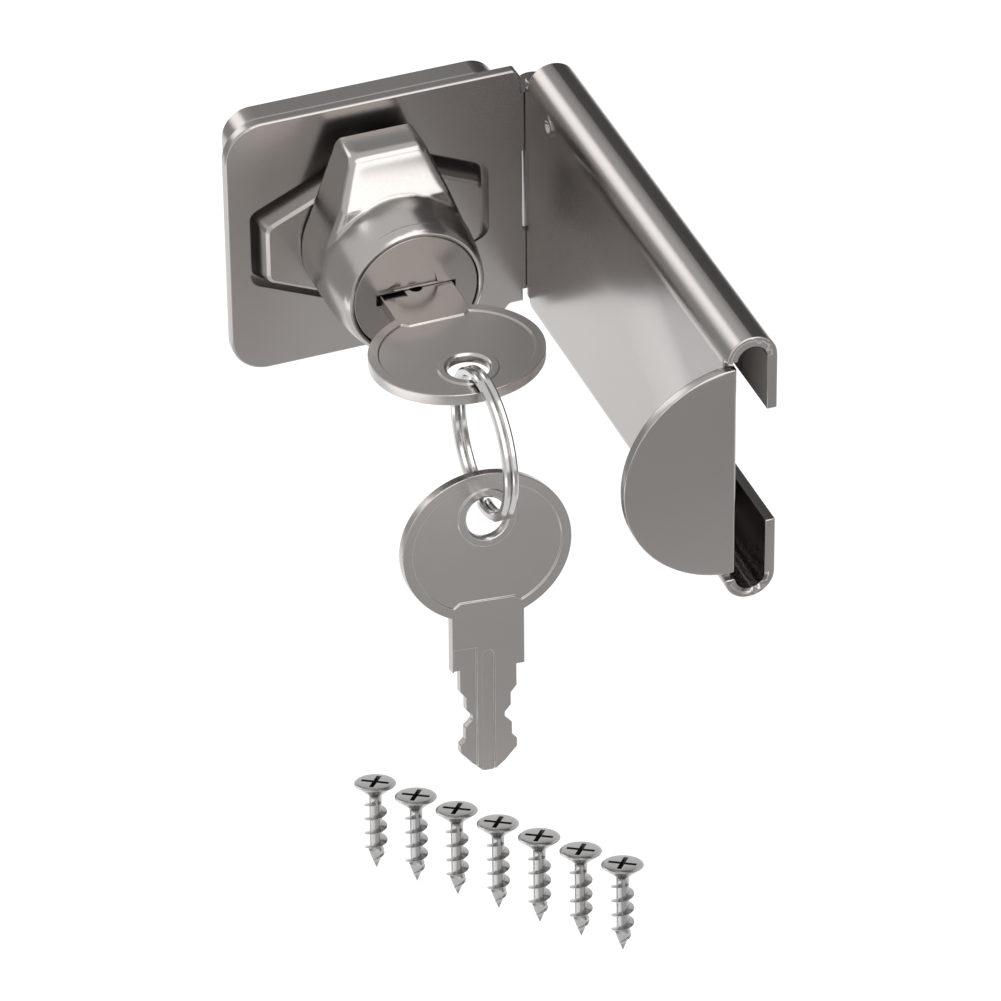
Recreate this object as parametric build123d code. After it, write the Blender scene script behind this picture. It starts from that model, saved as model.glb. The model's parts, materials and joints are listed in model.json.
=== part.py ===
from build123d import *
import math
import os

# Keyed hasp latch with a winged knob, a folding channel leaf and its rail.
# Millimetres. X runs towards the hinge, Z is up, and the front faces -Y.
# A depth is measured from the mounting plane (Y = 0) towards the front, so Y = -depth.
# The origin lies on the mounting plane, on the axis of the knob.

# Sheet metal, general clearances, and how far a cut runs past a face
sheet = 1.6
turn_gap = 0.2
slide_gap = 0.3
snug_gap = 0.1
groove_play = 0.03
past = 1.0

# Base tray
base_left = 21.4
base_right = 22.6
base_half_height = 22.0
base_depth = 4.1
base_wall = 1.4
base_front_wall = 1.2
base_corner = 4.5
base_edge_round = 0.6
screw_spacing_x = 31.0
screw_spacing_z = 31.0
screw_post_radius = 4.3
screw_hole_radius = 2.0
countersink_radius = 3.6

# Long hexagon shared by the boss, the opening in the plate and the knob's wings
boss_half_length = 18.8
boss_end_half = 5.6
hexagon_slope = 0.45
boss_rise = 2.5
boss_wall = 1.5
boss_corner = 1.6
boss_edge = 0.4
boss_taper = 0.33
opening_margin = 0.7
hub_wall = 3.4
rib_sheet = 1.4

# Hasp plate and hinge
plate_left = 22.9
plate_half_height = 22.2
plate_corner = 6.0
plate_right = 25.1
plate_round = 0.35
plate_top_cut = 1.0
plate_top_drop = 1.6
notch_reach = 3.9
notch_height = 1.9
notch_slant = 1.6
notch_round = 0.7
hinge_side_gap = 0.4
knuckle_inset = 4.2
knuckle_split = 7.3
knuckle_gap = 0.2
pin_radius = 1.0
pin_head_radius = 1.35
pin_head_height = 0.3

# Channel leaf
leaf_height = 46.2
leaf_depth = 7.9
web_roll = 3.9
lip_roll = 3.9
leaf_front = 87.3
leaf_rear_gap = 1.3
web_rear_gap = 0.3
lip_edge = 9.9
tab_reach = 16.0
tab_radius = 18.2
tab_bend = 0.5
relief_height = 1.2
rivet_depth = 16.0
rivet_height = 17.8
rivet_head_radius = 1.8
rivet_head_height = 0.9
rivet_proud = 0.2
rivet_dimple_radius = 1.1
rivet_dimple_depth = 0.6
rivet_radius = 1.1

# Rail inside the channel
rail_length = 44.0
rail_sheet = 1.5
rail_proud = 0.4
rail_hole_pitch = 15.0
rail_floor_play = 0.5
rail_countersink_radius = 3.0
rail_countersink_depth = 0.7

# Knob
knob_lift = 0.3
wing_half_length = 18.9
wing_end_half = 6.0
wing_depth = 7.5
wing_rise = 2.2
wing_hollow = 0.35
wing_corner = 1.6
wing_edge_round = 1.3
barrel_radius = 12.2
barrel_shoulder = 16.0
barrel_bulge = 0.35
face_radius = 11.1
face_depth = 26.2
face_bevel = 0.5
spindle_radius = 8.0
spindle_end = 0.5
spindle_flat = 7.45
rear_bore_radius = 6.75
rear_bore_end = 6.0
broach_depth = 0.9
broach_reach = 1.5
face_recess_radius = 10.1
face_recess_depth = 2.2

# Washers and retaining ring behind the base
wave_sheet = 0.35
stop_sheet = 0.8
washer_radius = 10.8
lug_radius = 13.2
lug_angle = 36.0
lug_play = 1.0
post_angle = 9.0
post_gap = 0.5
wave_play = 0.05
ring_sheet = 0.5
ring_groove_depth = 0.45
ring_radius = 9.2
ring_opening = 60.0
knob_turn = 90.0

# Cylinder
plug_radius = 6.2
plug_head_radius = 9.95
cap_sheet = 0.5
cap_bevel = 0.15
arch_radius = 3.5
mouth_play = 0.6
plug_back = 5.1
keyway_end = 6.2
wafer_count = 5
wafer_pitch = 2.4
wafer_first = 10.9
wafer_sheet = 0.9
wafer_half_height = 3.0
wafer_ear_width = 0.9
wafer_ear_height = 1.05
spring_radius = 0.42
spring_length = 3.0
spring_play = 0.15
spring_room = 1.25
clip_sheet = 0.45
clip_groove = 0.6
clip_play = 0.12
clip_start = 120.0
clip_opening = 60.0

# Bolt and its drive
bolt_sheet = 1.8
bolt_half_width = 4.0
bolt_back = 3.1
bolt_tip_gap = 0.2
crank_radius = 1.6
crank_pin_radius = 0.8
crank_play = 0.15

# Keys and ring
key_sheet = 1.8
bow_half_width = 13.5
bow_half_length = 12.0
bow_rim = 1.6
bow_recess = 0.25
key_hole_radius = 3.2
key_hole_offset = 4.8
key_hole_ring = 1.4
key_hole_chamfer = 0.35
key_seat_gap = 0.02
shoulder_width = 11.6
shoulder_length = 8.9
platform_reach = 2.3
platform_chamfer_x = 1.4
platform_chamfer_y = 1.0
stem_entry = 2.2
blade_width = 9.0
blade_length = 17.1
blade_tip_half = 0.7
edge_groove_width = 2.6
edge_groove_start = 3.6
middle_groove_width = 1.9
middle_groove_start = 2.0
key_groove_depth = 0.45
key_ring_radius = 11.1
ring_wire_radial = 1.4
ring_wire_axial = 1.06
ring_wire_edge = 0.3
ring_coil_gap = 0.06
ring_step_angle = 22.0
ring_step_start = 24.0
ring_lift = 0.55
ring_forward = 1.25
spare_tilt = 12.0
spare_lean = 4.6
hang_gap = 0.6

# Corners of the blade's cuts: distance from the shoulder, and depth below the blade's edge
blade_cuts = [
    (3.5, 0),
    (4.6, 0.95),
    (6.6, 0.95),
    (7.7, 1.95),
    (8.4, 1.95),
    (9.5, 0.8),
    (11.5, 0.8),
    (12.3, 0),
    (13.6, 0),
    (15.7, 2.0),
]

# Loose wood screws
screw_count = 7
screw_head_radius = 3.3
screw_head_height = 2.3
screw_head_edge = 0.3
screw_shank_radius = 1.6
screw_length = 14.7
screw_tip_length = 3.4
screw_row_x = -11.8
screw_row_depth = 35.5
screw_row_height = -83.0
screw_step_x = 4.73
screw_step_depth = 5.55
screw_turn = -20.5
screw_lean = 14.0

# Planes and places worked out from the sizes above
plate_front = base_depth + sheet
boss_front = plate_front + boss_rise
knob_back = boss_front + knob_lift
wing_front = knob_back + wing_depth
knuckle_radius = pin_radius + sheet
knuckle_half_span = plate_half_height - knuckle_inset
leaf_left = plate_right + hinge_side_gap
hinge_x = leaf_left + knuckle_radius
hinge_depth = plate_front - knuckle_radius
leaf_right = leaf_left + leaf_depth
leaf_rear = plate_front + leaf_rear_gap
base_mid_x = (base_right - base_left) / 2
spindle_bore = spindle_radius + turn_gap
hub_radius = spindle_bore + hub_wall
hub_back = base_depth - base_front_wall
plug_bore = plug_radius + turn_gap
plug_front = face_depth - snug_gap
bolt_front = bolt_back + bolt_sheet
crank_offset = crank_radius * math.sqrt(0.5)
bolt_travel = 2 * crank_offset
bolt_end_radius = spindle_radius - bolt_tip_gap
keyway_width = blade_width + 2 * turn_gap
keyway_height = key_sheet + 2 * slide_gap
mouth_width = shoulder_width + 2 * mouth_play
seat_depth = plug_front - stem_entry
rail_rear = rivet_depth + rivet_radius + slide_gap
rail_face_x = leaf_right + rail_proud
rail_wing_x = leaf_right - sheet - slide_gap - rail_sheet

os.makedirs("parts", exist_ok=True)


def prism(face, near, far):
    """Extrude a face drawn in X and Z from one depth to another, further to the front."""
    return extrude(Plane.XZ.offset(near) * face, amount=far - near)


def disc(radius, near, far, x=0.0, z=0.0):
    """Round bar along the depth."""
    return prism(Pos(x, z) * Circle(radius), near, far)


def block(x_low, x_high, near, far, z_low, z_high):
    """Box between two depths."""
    size = (x_high - x_low, far - near, z_high - z_low)
    middle = ((x_low + x_high) / 2, -(near + far) / 2, (z_low + z_high) / 2)
    return Pos(*middle) * Box(*size)


def upright_bar(radius, x, depth, z_low, z_high):
    """Round bar along Z."""
    return Pos(x, -depth, (z_low + z_high) / 2) * Cylinder(radius, z_high - z_low)


def cone(x, z, radius_near, radius_far, near, far):
    """Conical cut along the depth between two radii."""
    sections = [
        Plane.XZ.offset(near) * Pos(x, z) * Circle(radius_near),
        Plane.XZ.offset(far) * Pos(x, z) * Circle(radius_far),
    ]
    return loft(sections)


def ring_sector(inner, outer, start, sweep, near, far):
    """Sector of a flat ring, its angles counted from X towards Z."""
    ring = Circle(outer) - Circle(inner)
    reach = outer * 3
    steps = 6
    turns = [math.radians(start + sweep * step / steps) for step in range(steps + 1)]
    fan = [(0, 0)] + [(reach * math.cos(turn), reach * math.sin(turn)) for turn in turns]
    return prism(ring & make_face(Polyline(*fan, close=True)), near, far)


def long_hexagon(half_length, end_half, corner):
    """Hexagon drawn out along X, with upright ends."""
    middle = end_half + hexagon_slope * half_length
    points = [
        (-half_length, -end_half),
        (0, -middle),
        (half_length, -end_half),
        (half_length, end_half),
        (0, middle),
        (-half_length, end_half),
    ]
    outline = make_face(Polyline(*points, close=True))
    return fillet(outline.vertices(), corner)


def save(name, *solids):
    """Write one node, whose solids stay separate."""
    shape = solids[0] if len(solids) == 1 else Compound(children=list(solids))
    export_step(shape, f"parts/{name}.step")


def inset_hexagon(inset, corner):
    """Outline of the boss, moved in by a wall's thickness on every side."""
    end_loss = inset * (math.sqrt(1 + hexagon_slope ** 2) - hexagon_slope)
    return long_hexagon(boss_half_length - inset, boss_end_half - end_loss, corner)


def boss_form(inset, corner, near, far):
    """Tapered hexagon between two depths, moved in by a wall's thickness."""
    sections = []
    for depth in (near, far):
        taper = boss_taper * (depth - base_depth)
        sections.append(Plane.XZ.offset(depth) * inset_hexagon(inset + taper, corner))
    return loft(sections, ruled=True)


def make_base():
    """Tray with a hollow hexagonal boss, a hub for the spindle and four screw posts."""
    width = base_left + base_right
    outline = RectangleRounded(width, 2 * base_half_height, base_corner)
    hollow = RectangleRounded(
        width - 2 * base_wall, 2 * (base_half_height - base_wall), base_corner - base_wall
    )
    tray = prism(Pos(base_mid_x, 0) * outline, 0, base_depth)
    front_edges = tray.faces().sort_by(Axis.Y)[0].edges()
    tray = fillet(front_edges, base_edge_round)
    boss = boss_form(0, boss_corner, hub_back, boss_front)
    boss = chamfer(boss.faces().sort_by(Axis.Y)[0].edges(), boss_edge)
    body = tray + boss
    body -= prism(Pos(base_mid_x, 0) * hollow, 0, hub_back)
    body -= boss_form(boss_wall, boss_corner / 2, hub_back, boss_front - base_front_wall)
    inner_front = boss_front - base_front_wall / 2
    limit = boss_form(boss_wall / 2, boss_corner / 2, hub_back, inner_front)
    rib = block(-boss_half_length, boss_half_length, hub_back, inner_front, -rib_sheet / 2, rib_sheet / 2)
    body += rib & limit
    body += disc(hub_radius, hub_back, inner_front) & limit
    for start in stop_starts():
        post = [washer_radius + post_gap, lug_radius + post_gap, start, post_angle]
        body += ring_sector(*post, stop_back() - wave_play, base_depth - base_front_wall / 2)
        body += ring_sector(*post, hub_back, inner_front) & limit
    for x, z in screw_places():
        body += disc(screw_post_radius, 0, hub_back, x, z)
        body -= disc(screw_hole_radius, 0, base_depth, x, z)
        sink = countersink_radius - screw_hole_radius
        body -= cone(x, z, screw_hole_radius, countersink_radius, base_depth - sink, base_depth)
    body -= disc(spindle_bore, 0, boss_front)
    notch_half = bolt_half_width + slide_gap
    notch_end = bolt_end_radius + bolt_travel + slide_gap
    notch_front = bolt_front + turn_gap
    body -= block(0, notch_end, hub_back, notch_front, -notch_half, notch_half)
    body -= block(-notch_half, notch_half, hub_back, notch_front, -notch_end, 0)
    return body


def screw_places():
    """Centres of the four screw holes of the base."""
    half_x = screw_spacing_x / 2
    half_z = screw_spacing_z / 2
    return [(sx * half_x, sz * half_z) for sx in (-1, 1) for sz in (-1, 1)]


def stop_back():
    """Depth of the back of the stop washer."""
    return hub_back - wave_sheet - stop_sheet - 2 * wave_play


def stop_starts():
    """Angles where the two stop posts of the base begin, on either side of the lug's sweep."""
    lug_start = 270.0 - lug_angle / 2
    lug_end = 270.0 + lug_angle / 2
    return [lug_end + lug_play, lug_start - knob_turn - lug_play - post_angle]


def knuckle_tube(z_low, z_high, bore):
    """One knuckle of the hinge."""
    tube = upright_bar(knuckle_radius, hinge_x, hinge_depth, z_low, z_high)
    return tube - upright_bar(bore, hinge_x, hinge_depth, z_low - past, z_high + past)


def make_plate():
    """Hasp plate with its opening, a notched lower corner and the two outer knuckles."""
    low = knuckle_split + knuckle_gap
    notch_start = plate_right - notch_reach
    notch_level = notch_height - plate_half_height
    points = [
        (-plate_left, -plate_half_height),
        (notch_start, -plate_half_height),
        (notch_start + notch_slant, notch_level),
        (plate_right, notch_level),
        (plate_right, plate_half_height - plate_top_drop),
        (plate_right - plate_top_cut, plate_half_height),
        (-plate_left, plate_half_height),
    ]
    outline = make_face(Polyline(*points, close=True))
    outline = fillet(outline.vertices().sort_by(Axis.X)[:2], plate_corner)
    outline = fillet(outline.vertices().sort_by(Axis.X)[-5:-2], notch_round)
    plate = prism(outline, base_depth, plate_front)
    plate = fillet(plate.faces().sort_by(Axis.Y)[0].edges(), plate_round)
    opening = long_hexagon(
        boss_half_length + opening_margin, boss_end_half + opening_margin, boss_corner + opening_margin
    )
    plate -= prism(opening, base_depth, plate_front)
    for low_z, high_z in ((low, knuckle_half_span), (-knuckle_half_span, -low)):
        plate += block(plate_right - 2 * plate_round, hinge_x, base_depth, plate_front, low_z, high_z)
        plate += knuckle_tube(low_z, high_z, pin_radius)
        plate -= upright_bar(pin_radius, hinge_x, hinge_depth, low_z - past, high_z + past)
    return plate


def make_hinge_pin():
    """Pin with a low bevelled head at both ends."""
    top = knuckle_half_span
    pin = upright_bar(pin_radius, hinge_x, hinge_depth, -top, top)
    head = upright_bar(pin_head_radius, hinge_x, hinge_depth, top, top + pin_head_height)
    head = chamfer(head.faces().sort_by(Axis.Z)[-1].edges(), pin_head_height / 2)
    return pin + head + mirror(head, Plane.XY)


def leaf_profile():
    """Section of the channel: web, two rolled edges and two lips."""
    gap = Pos(leaf_right, 0) * Rectangle(3 * sheet, 2 * lip_edge)
    return channel_outline(0) - channel_outline(sheet) - gap


def channel_outline(inset):
    """Outline of the channel's section, moved in from its outer face."""
    middle = leaf_left + leaf_depth / 2
    outline = Pos(middle, 0) * Rectangle(leaf_depth - 2 * inset, leaf_height - 2 * inset)
    web_corners = outline.vertices().sort_by(Axis.X)[:2]
    outline = fillet(web_corners, web_roll - inset)
    lip_corners = outline.vertices().sort_by(Axis.X)[-2:]
    return fillet(lip_corners, lip_roll - inset)


def make_leaf():
    """Channel leaf with the middle knuckle and the thumb tab turned out at its free end."""
    web_half = leaf_height / 2 - web_roll
    web_inner = leaf_left + sheet
    leaf = prism(leaf_profile(), leaf_rear, leaf_front)
    leaf += block(leaf_left, web_inner, plate_front + web_rear_gap, leaf_rear + past, -web_half, web_half)
    leaf += block(leaf_left, web_inner, hinge_depth, leaf_rear, -knuckle_split, knuckle_split)
    leaf += knuckle_tube(-knuckle_split, knuckle_split, pin_radius + snug_gap)
    leaf -= upright_bar(pin_radius + snug_gap, hinge_x, hinge_depth, -knuckle_split, knuckle_split)
    tab = Pos(leaf_left - tab_reach + tab_radius, 0) * Circle(tab_radius)
    tab &= Pos(web_inner - tab_reach, 0) * Rectangle(2 * tab_reach, 2 * tab_half())
    leaf += prism(tab, leaf_front - sheet, leaf_front)
    for side in (-1, 1):
        near_z, far_z = sorted((side * tab_half(), side * (tab_half() + relief_height)))
        leaf -= block(leaf_left - past, web_inner + past, leaf_front - sheet, leaf_front + past,
                      near_z, far_z)
    bend = leaf.edges().filter_by(Axis.Z).sort_by_distance((web_inner, -leaf_front, 0))[0]
    leaf = fillet(bend, tab_bend)
    return leaf - rivet_shape()


def tab_half():
    """Half height of the root of the thumb tab, where its arc meets the web."""
    across = tab_radius - tab_reach
    return math.sqrt(tab_radius ** 2 - across ** 2)


def across_bar(radius, x_low, x_high, depth, z):
    """Round bar along X."""
    turn = Rot(0, 90, 0)
    return Pos((x_low + x_high) / 2, -depth, z) * turn * Cylinder(radius, x_high - x_low)


def across_cone(radius_low, radius_high, x_low, x_high, depth, z):
    """Round cone along X between two radii."""
    turn = Rot(0, 90, 0)
    return Pos((x_low + x_high) / 2, -depth, z) * turn * Cone(radius_low, radius_high, x_high - x_low)


def rivet_shape():
    """Countersunk head flush with the web, and a shank that crosses the channel."""
    head_end = leaf_left + rivet_head_height
    shank_end = leaf_right - sheet - slide_gap
    head = across_cone(rivet_head_radius, rivet_radius, leaf_left, head_end, rivet_depth, rivet_height)
    return head + across_bar(rivet_radius, head_end, shank_end, rivet_depth, rivet_height)


def make_rivet():
    """Rivet with a low rim and a dimple in its head."""
    top = leaf_left - rivet_proud
    rivet = rivet_shape() + across_bar(rivet_head_radius, top, leaf_left, rivet_depth, rivet_height)
    dimple = across_cone(rivet_dimple_radius, rivet_dimple_radius / 2, top, top + rivet_dimple_depth,
                         rivet_depth, rivet_height)
    return rivet - dimple


def make_rail():
    """Hat-shaped rail whose wings run behind the lips and whose floor meets the door."""
    floor_half = lip_edge - rail_floor_play
    wing_half = leaf_height / 2 - lip_roll - slide_gap
    far = rail_rear + rail_length
    rail = block(rail_face_x - rail_sheet, rail_face_x, rail_rear, far, -floor_half, floor_half)
    for side in (-1, 1):
        leg_low = min(side * floor_half, side * (floor_half - rail_sheet))
        rail += block(rail_wing_x, rail_face_x, rail_rear, far, leg_low, leg_low + rail_sheet)
        wing = sorted((side * (floor_half - rail_sheet), side * wing_half))
        rail += block(rail_wing_x, rail_wing_x + rail_sheet, rail_rear, far, *wing)
    for hole in range(3):
        depth = rail_rear + rail_length / 2 + (hole - 1) * rail_hole_pitch
        rail -= across_bar(screw_hole_radius, rail_face_x - rail_sheet, rail_face_x, depth, 0)
        sink_start = rail_face_x - rail_sheet
        rail -= across_cone(rail_countersink_radius, screw_hole_radius, sink_start,
                            sink_start + rail_countersink_depth, depth, 0)
    return rail


def make_wing():
    """The knob's one wing: sides that leave the barrel in line, and a hollow slope up its front."""
    corner = (wing_end_half, wing_half_length)
    reach = math.hypot(*corner)
    turn = math.atan2(wing_half_length, wing_end_half) - math.acos(barrel_radius / reach)
    touch = (barrel_radius * math.cos(turn), barrel_radius * math.sin(turn))
    points = [
        corner,
        touch,
        (0, 0),
        (-touch[0], touch[1]),
        (-wing_end_half, wing_half_length),
    ]
    outline = make_face(Polyline(*points, close=True))
    outline = fillet(outline.vertices().sort_by(Axis.Y)[-2:], wing_corner)
    top = wing_front + wing_rise
    foot = barrel_radius - wing_corner / 2
    slope_start = Vector(-wing_front, wing_half_length)
    slope_end = Vector(-top, foot)
    across = (slope_end - slope_start).normalized()
    middle = (slope_start + slope_end) / 2 + Vector(-across.Y, across.X) * wing_hollow
    side = make_face(
        Polyline(slope_start, (-knob_back, wing_half_length), (-knob_back, 0), (-top, 0), slope_end)
        + ThreePointArc(slope_end, middle, slope_start)
    )
    side = extrude(Plane.YZ * side, amount=2 * barrel_radius, both=True)
    wing = prism(outline, knob_back, top) & side
    front_limit = wing_edge_round / 2 - wing_front
    front_edges = wing.edges().filter_by(lambda edge: edge.center().Y < front_limit)
    front_edges = front_edges.filter_by(lambda edge: edge.center().Z > touch[1])
    return fillet(front_edges, wing_edge_round)


def make_knob():
    """Winged knob with its barrel, hollow spindle and bores."""
    face_edge = (face_radius, -(face_depth - face_bevel))
    shoulder = (barrel_radius, -barrel_shoulder)
    bulge = (
        (barrel_radius + face_radius) / 2 + barrel_bulge,
        -(barrel_shoulder + face_depth - face_bevel) / 2,
    )
    lines = Polyline((0, -face_depth), (0, -knob_back), (barrel_radius, -knob_back), shoulder)
    lines += ThreePointArc(shoulder, bulge, face_edge)
    lines += Polyline(face_edge, (face_radius - face_bevel, -face_depth), (0, -face_depth))
    barrel = revolve(make_face(lines), Axis.Y)
    knob = barrel + make_wing()
    knob += disc(spindle_radius, spindle_end, knob_back + past)
    knob -= disc(face_recess_radius, face_depth - face_recess_depth, face_depth + past)
    knob -= disc(plug_bore, rear_bore_end - past, face_depth)
    knob -= disc(rear_bore_radius, spindle_end - past, rear_bore_end)
    groove = Circle(spindle_radius + past) - Circle(spindle_radius - ring_groove_depth)
    knob -= prism(groove, ring_back() - groove_play, ring_back() + ring_sheet + groove_play)
    for side in (-1, 1):
        near, far = sorted((side * spindle_flat, side * (spindle_radius + past)))
        knob -= block(near, far, spindle_end - past, hub_back - turn_gap,
                      -spindle_radius, spindle_radius)
    window_half = bolt_half_width + snug_gap
    knob -= block(-spindle_radius - past, spindle_radius + past, bolt_back - snug_gap, bolt_front + snug_gap,
                  -window_half, window_half)
    broach_half = wafer_half_height + turn_gap
    broach_end = plug_bore + broach_depth
    knob -= block(-broach_end, broach_end, wafer_first - broach_reach, wafer_last() + broach_reach,
                  -broach_half, broach_half)
    return knob


def wafer_last():
    """Depth of the wafer nearest to the face."""
    return wafer_first + (wafer_count - 1) * wafer_pitch


def ring_back():
    """Depth of the back of the retaining ring."""
    return stop_back() - wave_play - ring_sheet


def make_wave_washer():
    """Friction washer, drawn pressed flat."""
    ring = Circle(washer_radius) - Circle(spindle_radius + 2 * turn_gap)
    near = hub_back - wave_play - wave_sheet
    return prism(ring, near, near + wave_sheet)


def make_stop_washer():
    """Washer keyed to the flats of the spindle, with the lug that meets the stop posts."""
    hole = Circle(spindle_radius + snug_gap)
    hole &= Rectangle(2 * (spindle_flat + snug_gap), 4 * spindle_radius)
    ring = Circle(washer_radius) - hole
    near = stop_back()
    washer = prism(ring, near, near + stop_sheet)
    lug = ring_sector(washer_radius - past, lug_radius, 270 - lug_angle / 2, lug_angle,
                      near, near + stop_sheet)
    return washer + lug


def make_spindle_ring():
    """Open retaining ring in the groove of the spindle."""
    near = ring_back()
    inner = spindle_radius - ring_groove_depth + groove_play
    return ring_sector(inner, ring_radius, -ring_opening, 360 - ring_opening, near, near + ring_sheet)


def keyway_face(margin):
    """Section of the keyway, with an optional margin all round."""
    return Rectangle(keyway_width + 2 * margin, keyway_height + 2 * margin)


def make_plug():
    """Turning core with its head, keyway, wafer slots and clip groove."""
    cap_back = plug_front - cap_sheet
    head_back = face_depth - face_recess_depth + snug_gap
    plug = disc(plug_head_radius, head_back, cap_back)
    plug += disc(plug_radius, plug_back, cap_back)
    plug -= prism(keyway_face(0), keyway_end, face_depth)
    plug -= prism(Rectangle(mouth_width, keyway_height), seat_depth, face_depth)
    slot = wafer_sheet + snug_gap
    for number in range(wafer_count):
        middle = wafer_first + number * wafer_pitch
        near = middle - slot / 2
        plug -= block(-plug_radius - past, plug_radius + past, near, near + slot,
                      -wafer_half_height - snug_gap, wafer_half_height + snug_gap)
        plug -= block(-spring_length - 2 * spring_play, wafer_ear_width + 2 * spring_play,
                      near, near + slot, wafer_half_height, wafer_half_height + spring_room)
    groove_near = rear_bore_end - snug_gap - clip_sheet - groove_play
    groove = Circle(plug_radius + past) - Circle(plug_radius - clip_groove)
    plug -= prism(groove, groove_near, groove_near + clip_sheet + 2 * groove_play)
    plug -= disc(crank_pin_radius, plug_back, keyway_end, -crank_offset, crank_offset)
    return plug


def make_plug_cap():
    """Thin face disc with the wide mouth of the keyway and the arched recess above it."""
    cap = disc(plug_head_radius, plug_front - cap_sheet, plug_front)
    cap = chamfer(cap.faces().sort_by(Axis.Y)[0].edges(), cap_bevel)
    mouth = Rectangle(mouth_width, keyway_height)
    arch = Pos(0, keyway_height / 2) * Circle(arch_radius)
    arch &= Pos(0, arch_radius) * Rectangle(2 * arch_radius, 2 * arch_radius)
    return cap - prism(mouth + arch, plug_front - cap_sheet, plug_front)


def make_plug_clip():
    """Open clip in the plug's groove, behind the step of the knob's bore."""
    near = rear_bore_end - snug_gap - clip_sheet
    inner = plug_radius - clip_groove + groove_play
    outer = rear_bore_radius - clip_play
    return ring_sector(inner, outer, clip_start, 360 - clip_opening, near, near + clip_sheet)


def make_drive_pin():
    """Eccentric pin pressed into the back of the plug."""
    return disc(crank_pin_radius, bolt_back + turn_gap, keyway_end - snug_gap, -crank_offset, crank_offset)


def make_wafers():
    """Wafers across the plug, each with a window for the blade and an ear for its spring."""
    wafers = []
    for number in range(wafer_count):
        middle = wafer_first + number * wafer_pitch
        plate = Circle(plug_radius - snug_gap) & Rectangle(4 * plug_radius, 2 * wafer_half_height)
        ear = Rectangle(wafer_ear_width, 2 * wafer_ear_height)
        plate += Pos(wafer_ear_width / 2, wafer_half_height) * ear
        plate -= keyway_face(snug_gap / 2)
        wafers.append(prism(plate, middle - wafer_sheet / 2, middle + wafer_sheet / 2))
    return wafers


def make_wafer_springs():
    """Springs that press on the ears, drawn as the sleeves that their coils fill."""
    springs = []
    for number in range(wafer_count):
        middle = wafer_first + number * wafer_pitch
        height = wafer_half_height + snug_gap + spring_radius + spring_play
        sleeve = across_bar(spring_radius, -spring_length - spring_play / 3, -spring_play / 3, middle, height)
        sleeve -= across_bar(spring_radius / 2, -spring_length - past, past, middle, height)
        springs.append(sleeve)
    return springs


def make_bolt():
    """Flat bolt across the spindle, with the cross slot that the drive pin moves in."""
    plate = Circle(bolt_end_radius) & Rectangle(4 * spindle_radius, 2 * bolt_half_width)
    reach = crank_pin_radius + crank_play
    slot_low = crank_offset - reach
    slot_high = crank_radius + reach
    slot = Pos(-crank_offset, (slot_low + slot_high) / 2) * Rectangle(2 * reach, slot_high - slot_low)
    return prism(plate - slot, bolt_back, bolt_front)


def make_key():
    """Key lying flat in X and Y, its tip towards +Y and the shoulder's face at the origin."""
    bow_centre = -(shoulder_length + bow_join())
    half = key_sheet / 2
    bow = Pos(0, bow_centre) * Ellipse(bow_half_width, bow_half_length)
    stem = Pos(0, -(shoulder_length + platform_reach) / 2) * Rectangle(
        shoulder_width, shoulder_length + platform_reach
    )
    key = extrude(bow + stem + blade_outline(), amount=half, both=True)
    field = Pos(0, bow_centre) * Ellipse(bow_half_width - bow_rim, bow_half_length - bow_rim)
    field -= stem_platform()
    hole_centre = bow_centre - key_hole_offset
    field -= Pos(0, hole_centre) * Circle(key_hole_radius + key_hole_ring)
    grooves = edge_groove() + middle_groove()
    for turn in (0, 180):
        cut = extrude(Pos(0, 0, half - bow_recess) * field, amount=key_sheet)
        cut += extrude(Pos(0, 0, half - key_groove_depth) * grooves, amount=key_sheet)
        key -= Rot(0, turn, 0) * cut
    key -= Pos(0, hole_centre, 0) * Cylinder(key_hole_radius, 2 * key_sheet)
    mouth = Cone(key_hole_radius, key_hole_radius + key_hole_chamfer, key_hole_chamfer)
    mouth = Pos(0, hole_centre, half - key_hole_chamfer / 2) * mouth
    key -= mouth
    key -= mirror(mouth, Plane.XY)
    return key


def stem_platform():
    """Raised end of the stem, which reaches into the bow's field with slanted corners."""
    half = shoulder_width / 2
    top = -(shoulder_length + platform_reach)
    points = [
        (-half, 0),
        (-half, top + platform_chamfer_y),
        (platform_chamfer_x - half, top),
        (half - platform_chamfer_x, top),
        (half, top + platform_chamfer_y),
        (half, 0),
    ]
    return make_face(Polyline(*points, close=True))


def edge_groove():
    """Wide groove along the left edge of the blade, milled from inside the stem."""
    length = blade_length + edge_groove_start + past
    left = -blade_width / 2 - past
    right = -blade_width / 2 + edge_groove_width
    groove = Rectangle(right - left, length)
    return Pos((left + right) / 2, length / 2 - edge_groove_start) * groove


def middle_groove():
    """Groove along the middle of the blade, with a round upper end."""
    length = blade_length + middle_groove_start + past
    groove = Pos(0, length / 2 - middle_groove_start) * Rectangle(middle_groove_width, length)
    return groove + Pos(0, -middle_groove_start) * Circle(middle_groove_width / 2)


def bow_join():
    """Distance from the centre of the bow to the line where the shoulder meets it."""
    return bow_half_length * math.sqrt(1 - (shoulder_width / 2 / bow_half_width) ** 2)


def blade_outline():
    """Blade with the same stepped cuts on both edges and a blunt tip."""
    half = blade_width / 2
    right = [(half, -past)]
    right += [(half - depth, place) for place, depth in blade_cuts]
    right += [(blade_tip_half, blade_length)]
    left = [(-x, y) for x, y in reversed(right)]
    return make_face(Polyline(*right, *left, close=True))


def inserted_key():
    """Key pushed home, its shoulder against the face of the cylinder."""
    return Pos(0, -seat_depth - key_seat_gap, 0) * make_key()


def rim_places():
    """Depths of the far edge of the hole and of the bow, on the key in the cylinder."""
    bow_centre = seat_depth + shoulder_length + bow_join()
    hole_far = bow_centre + key_hole_offset + key_hole_radius
    return hole_far, bow_centre + bow_half_length


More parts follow.
